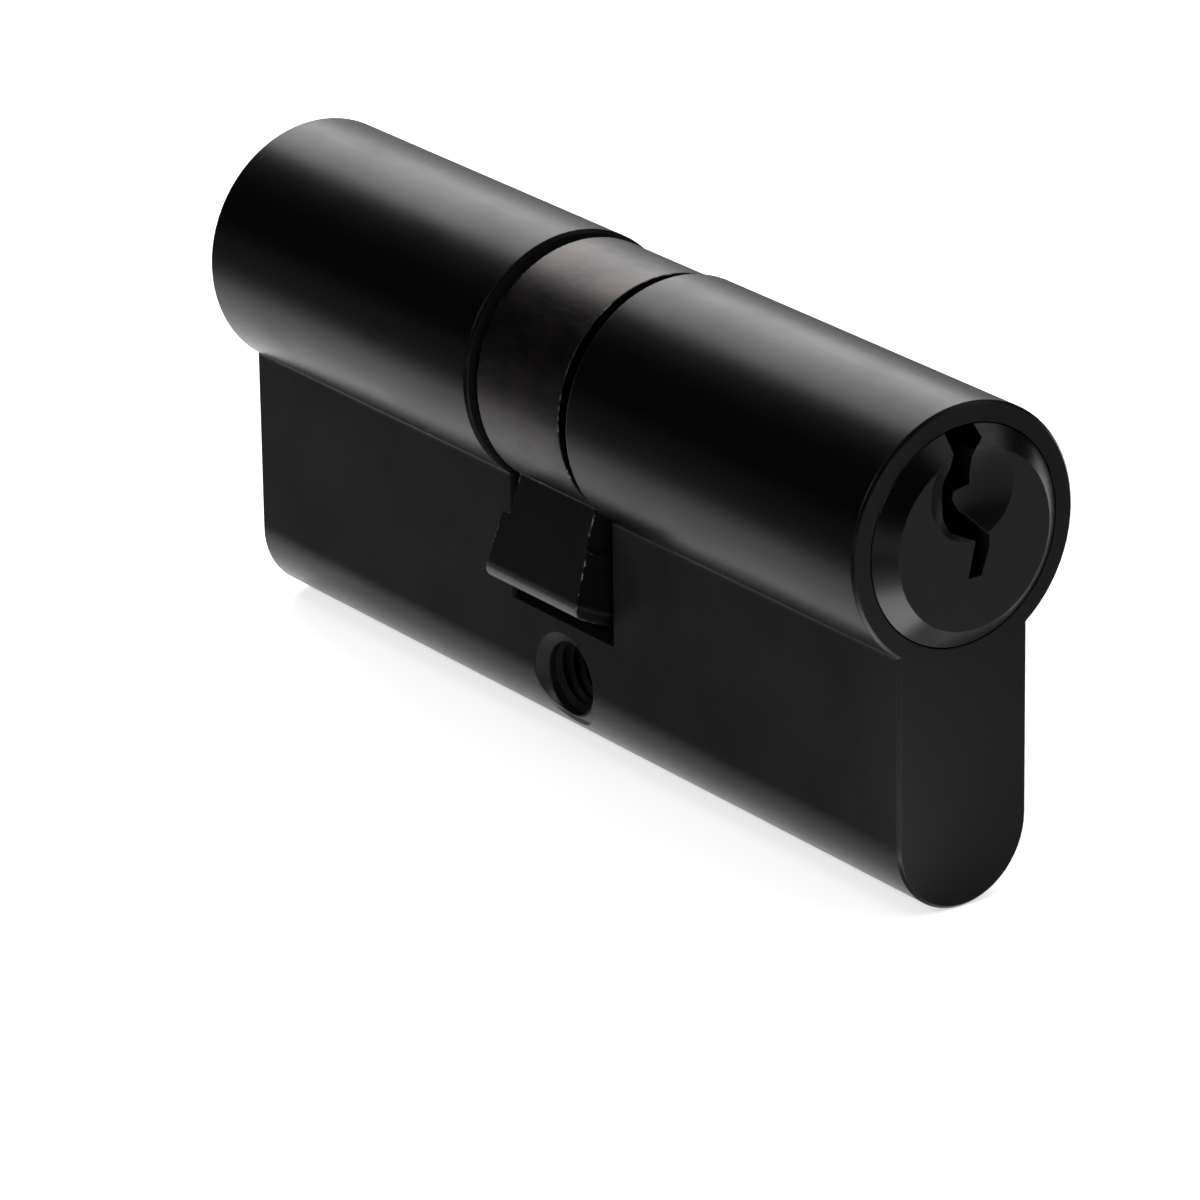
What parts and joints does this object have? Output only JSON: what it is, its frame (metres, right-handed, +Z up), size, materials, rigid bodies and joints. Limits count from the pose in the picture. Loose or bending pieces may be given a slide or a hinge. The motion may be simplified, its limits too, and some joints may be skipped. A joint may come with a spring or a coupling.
{
  "type": "euro cylinder",
  "caption": "Double euro profile lock cylinder: a keyed plug in each end, pin stacks in the tail and a cam between the halves that works a mortice lock.",
  "frame": {"origin": "centre of the fixing-screw hole, in the middle of the cylinder's length and thickness", "axes": "+X along the barrel to the outer end, +Z up from the screw hole to the barrel, tail down, +Y across"},
  "size_m": [0.072, 0.017, 0.033],
  "materials": {
    "housing_black": "satin black coating",
    "plug_black": "satin black coating",
    "cam_steel": "dark brushed sintered steel with worn edges",
    "circlip_black": "blackened spring steel",
    "coupler_steel": "plain sintered steel",
    "pin_brass": "turned brass",
    "pin_steel": "turned steel",
    "spring_steel": "drawn wire",
    "cap_brass": "blackened with the housing"
  },
  "bodies": {
    "housing": {"housing": "housing_black", "outer_spring_1": "spring_steel", "outer_chamber_cap_1": "cap_brass", "outer_spring_2": "spring_steel", "outer_chamber_cap_2": "cap_brass", "outer_spring_3": "spring_steel", "outer_chamber_cap_3": "cap_brass", "outer_spring_4": "spring_steel", "outer_chamber_cap_4": "cap_brass", "outer_spring_5": "spring_steel", "outer_chamber_cap_5": "cap_brass", "inner_spring_1": "spring_steel", "inner_chamber_cap_1": "cap_brass", "inner_spring_2": "spring_steel", "inner_chamber_cap_2": "cap_brass", "inner_spring_3": "spring_steel", "inner_chamber_cap_3": "cap_brass", "inner_spring_4": "spring_steel", "inner_chamber_cap_4": "cap_brass", "inner_spring_5": "spring_steel", "inner_chamber_cap_5": "cap_brass"},
    "outer_plug": {"outer_plug": "plug_black", "outer_circlip": "circlip_black"},
    "inner_plug": {"inner_plug": "plug_black", "inner_circlip": "circlip_black"},
    "cam": {"cam": "cam_steel"},
    "outer_coupler": {"outer_coupler": "coupler_steel"},
    "inner_coupler": {"inner_coupler": "coupler_steel"},
    "outer_key_pin_1": {"outer_key_pin_1": "pin_brass"},
    "outer_key_pin_2": {"outer_key_pin_2": "pin_brass"},
    "outer_key_pin_3": {"outer_key_pin_3": "pin_brass"},
    "outer_key_pin_4": {"outer_key_pin_4": "pin_brass"},
    "outer_key_pin_5": {"outer_key_pin_5": "pin_brass"},
    "inner_key_pin_1": {"inner_key_pin_1": "pin_brass"},
    "inner_key_pin_2": {"inner_key_pin_2": "pin_brass"},
    "inner_key_pin_3": {"inner_key_pin_3": "pin_brass"},
    "inner_key_pin_4": {"inner_key_pin_4": "pin_brass"},
    "inner_key_pin_5": {"inner_key_pin_5": "pin_brass"},
    "outer_driver_pin_1": {"outer_driver_pin_1": "pin_steel"},
    "outer_driver_pin_2": {"outer_driver_pin_2": "pin_steel"},
    "outer_driver_pin_3": {"outer_driver_pin_3": "pin_steel"},
    "outer_driver_pin_4": {"outer_driver_pin_4": "pin_steel"},
    "outer_driver_pin_5": {"outer_driver_pin_5": "pin_steel"},
    "inner_driver_pin_1": {"inner_driver_pin_1": "pin_steel"},
    "inner_driver_pin_2": {"inner_driver_pin_2": "pin_steel"},
    "inner_driver_pin_3": {"inner_driver_pin_3": "pin_steel"},
    "inner_driver_pin_4": {"inner_driver_pin_4": "pin_steel"},
    "inner_driver_pin_5": {"inner_driver_pin_5": "pin_steel"}
  },
  "joints": [
    {"name": "outer_plug_turn", "type": "hinge", "parent": "housing", "child": "outer_plug", "pos_m": [0, 0, 0.0195], "axis": [1, 0, 0], "continuous": true},
    {"name": "inner_plug_turn", "type": "hinge", "parent": "housing", "child": "inner_plug", "pos_m": [0, 0, 0.0195], "axis": [1, 0, 0], "continuous": true},
    {"name": "cam_turn", "type": "hinge", "parent": "housing", "child": "cam", "pos_m": [0, 0, 0.0195], "axis": [1, 0, 0], "continuous": true},
    {"name": "outer_coupler_slide", "type": "slide", "parent": "outer_plug", "child": "outer_coupler", "axis": [1, 0, 0], "range_m": [0, 0.0026]},
    {"name": "inner_coupler_slide", "type": "slide", "parent": "inner_plug", "child": "inner_coupler", "axis": [1, 0, 0], "range_m": [0, 0.0026]},
    {"name": "outer_key_pin_1_rise", "type": "slide", "parent": "outer_plug", "child": "outer_key_pin_1", "axis": [0, 0, 1], "range_m": [0, 0.00257]},
    {"name": "outer_key_pin_2_rise", "type": "slide", "parent": "outer_plug", "child": "outer_key_pin_2", "axis": [0, 0, 1], "range_m": [0, 0.00187]},
    {"name": "outer_key_pin_3_rise", "type": "slide", "parent": "outer_plug", "child": "outer_key_pin_3", "axis": [0, 0, 1], "range_m": [0, 0.00282]},
    {"name": "outer_key_pin_4_rise", "type": "slide", "parent": "outer_plug", "child": "outer_key_pin_4", "axis": [0, 0, 1], "range_m": [0, 0.00217]},
    {"name": "outer_key_pin_5_rise", "type": "slide", "parent": "outer_plug", "child": "outer_key_pin_5", "axis": [0, 0, 1], "range_m": [0, 0.00272]},
    {"name": "inner_key_pin_1_rise", "type": "slide", "parent": "inner_plug", "child": "inner_key_pin_1", "axis": [0, 0, 1], "range_m": [0, 0.00257]},
    {"name": "inner_key_pin_2_rise", "type": "slide", "parent": "inner_plug", "child": "inner_key_pin_2", "axis": [0, 0, 1], "range_m": [0, 0.00187]},
    {"name": "inner_key_pin_3_rise", "type": "slide", "parent": "inner_plug", "child": "inner_key_pin_3", "axis": [0, 0, 1], "range_m": [0, 0.00282]},
    {"name": "inner_key_pin_4_rise", "type": "slide", "parent": "inner_plug", "child": "inner_key_pin_4", "axis": [0, 0, 1], "range_m": [0, 0.00217]},
    {"name": "inner_key_pin_5_rise", "type": "slide", "parent": "inner_plug", "child": "inner_key_pin_5", "axis": [0, 0, 1], "range_m": [0, 0.00272]},
    {"name": "outer_driver_pin_1_drop", "type": "slide", "parent": "housing", "child": "outer_driver_pin_1", "axis": [0, 0, 1], "range_m": [-0.003, 0], "stiffness_N_per_m": 60, "springref_m": 0.003, "deforming": ["outer_spring_1"]},
    {"name": "outer_driver_pin_2_drop", "type": "slide", "parent": "housing", "child": "outer_driver_pin_2", "axis": [0, 0, 1], "range_m": [-0.003, 0], "stiffness_N_per_m": 60, "springref_m": 0.003, "deforming": ["outer_spring_2"]},
    {"name": "outer_driver_pin_3_drop", "type": "slide", "parent": "housing", "child": "outer_driver_pin_3", "axis": [0, 0, 1], "range_m": [-0.003, 0], "stiffness_N_per_m": 60, "springref_m": 0.003, "deforming": ["outer_spring_3"]},
    {"name": "outer_driver_pin_4_drop", "type": "slide", "parent": "housing", "child": "outer_driver_pin_4", "axis": [0, 0, 1], "range_m": [-0.003, 0], "stiffness_N_per_m": 60, "springref_m": 0.003, "deforming": ["outer_spring_4"]},
    {"name": "outer_driver_pin_5_drop", "type": "slide", "parent": "housing", "child": "outer_driver_pin_5", "axis": [0, 0, 1], "range_m": [-0.003, 0], "stiffness_N_per_m": 60, "springref_m": 0.003, "deforming": ["outer_spring_5"]},
    {"name": "inner_driver_pin_1_drop", "type": "slide", "parent": "housing", "child": "inner_driver_pin_1", "axis": [0, 0, 1], "range_m": [-0.003, 0], "stiffness_N_per_m": 60, "springref_m": 0.003, "deforming": ["inner_spring_1"]},
    {"name": "inner_driver_pin_2_drop", "type": "slide", "parent": "housing", "child": "inner_driver_pin_2", "axis": [0, 0, 1], "range_m": [-0.003, 0], "stiffness_N_per_m": 60, "springref_m": 0.003, "deforming": ["inner_spring_2"]},
    {"name": "inner_driver_pin_3_drop", "type": "slide", "parent": "housing", "child": "inner_driver_pin_3", "axis": [0, 0, 1], "range_m": [-0.003, 0], "stiffness_N_per_m": 60, "springref_m": 0.003, "deforming": ["inner_spring_3"]},
    {"name": "inner_driver_pin_4_drop", "type": "slide", "parent": "housing", "child": "inner_driver_pin_4", "axis": [0, 0, 1], "range_m": [-0.003, 0], "stiffness_N_per_m": 60, "springref_m": 0.003, "deforming": ["inner_spring_4"]},
    {"name": "inner_driver_pin_5_drop", "type": "slide", "parent": "housing", "child": "inner_driver_pin_5", "axis": [0, 0, 1], "range_m": [-0.003, 0], "stiffness_N_per_m": 60, "springref_m": 0.003, "deforming": ["inner_spring_5"]}
  ],
  "couplings": [
    {"joint": "cam_turn", "follows": "outer_plug_turn", "ratio": 1},
    {"joint": "inner_coupler_slide", "follows": "outer_coupler_slide", "ratio": 1}
  ]
}
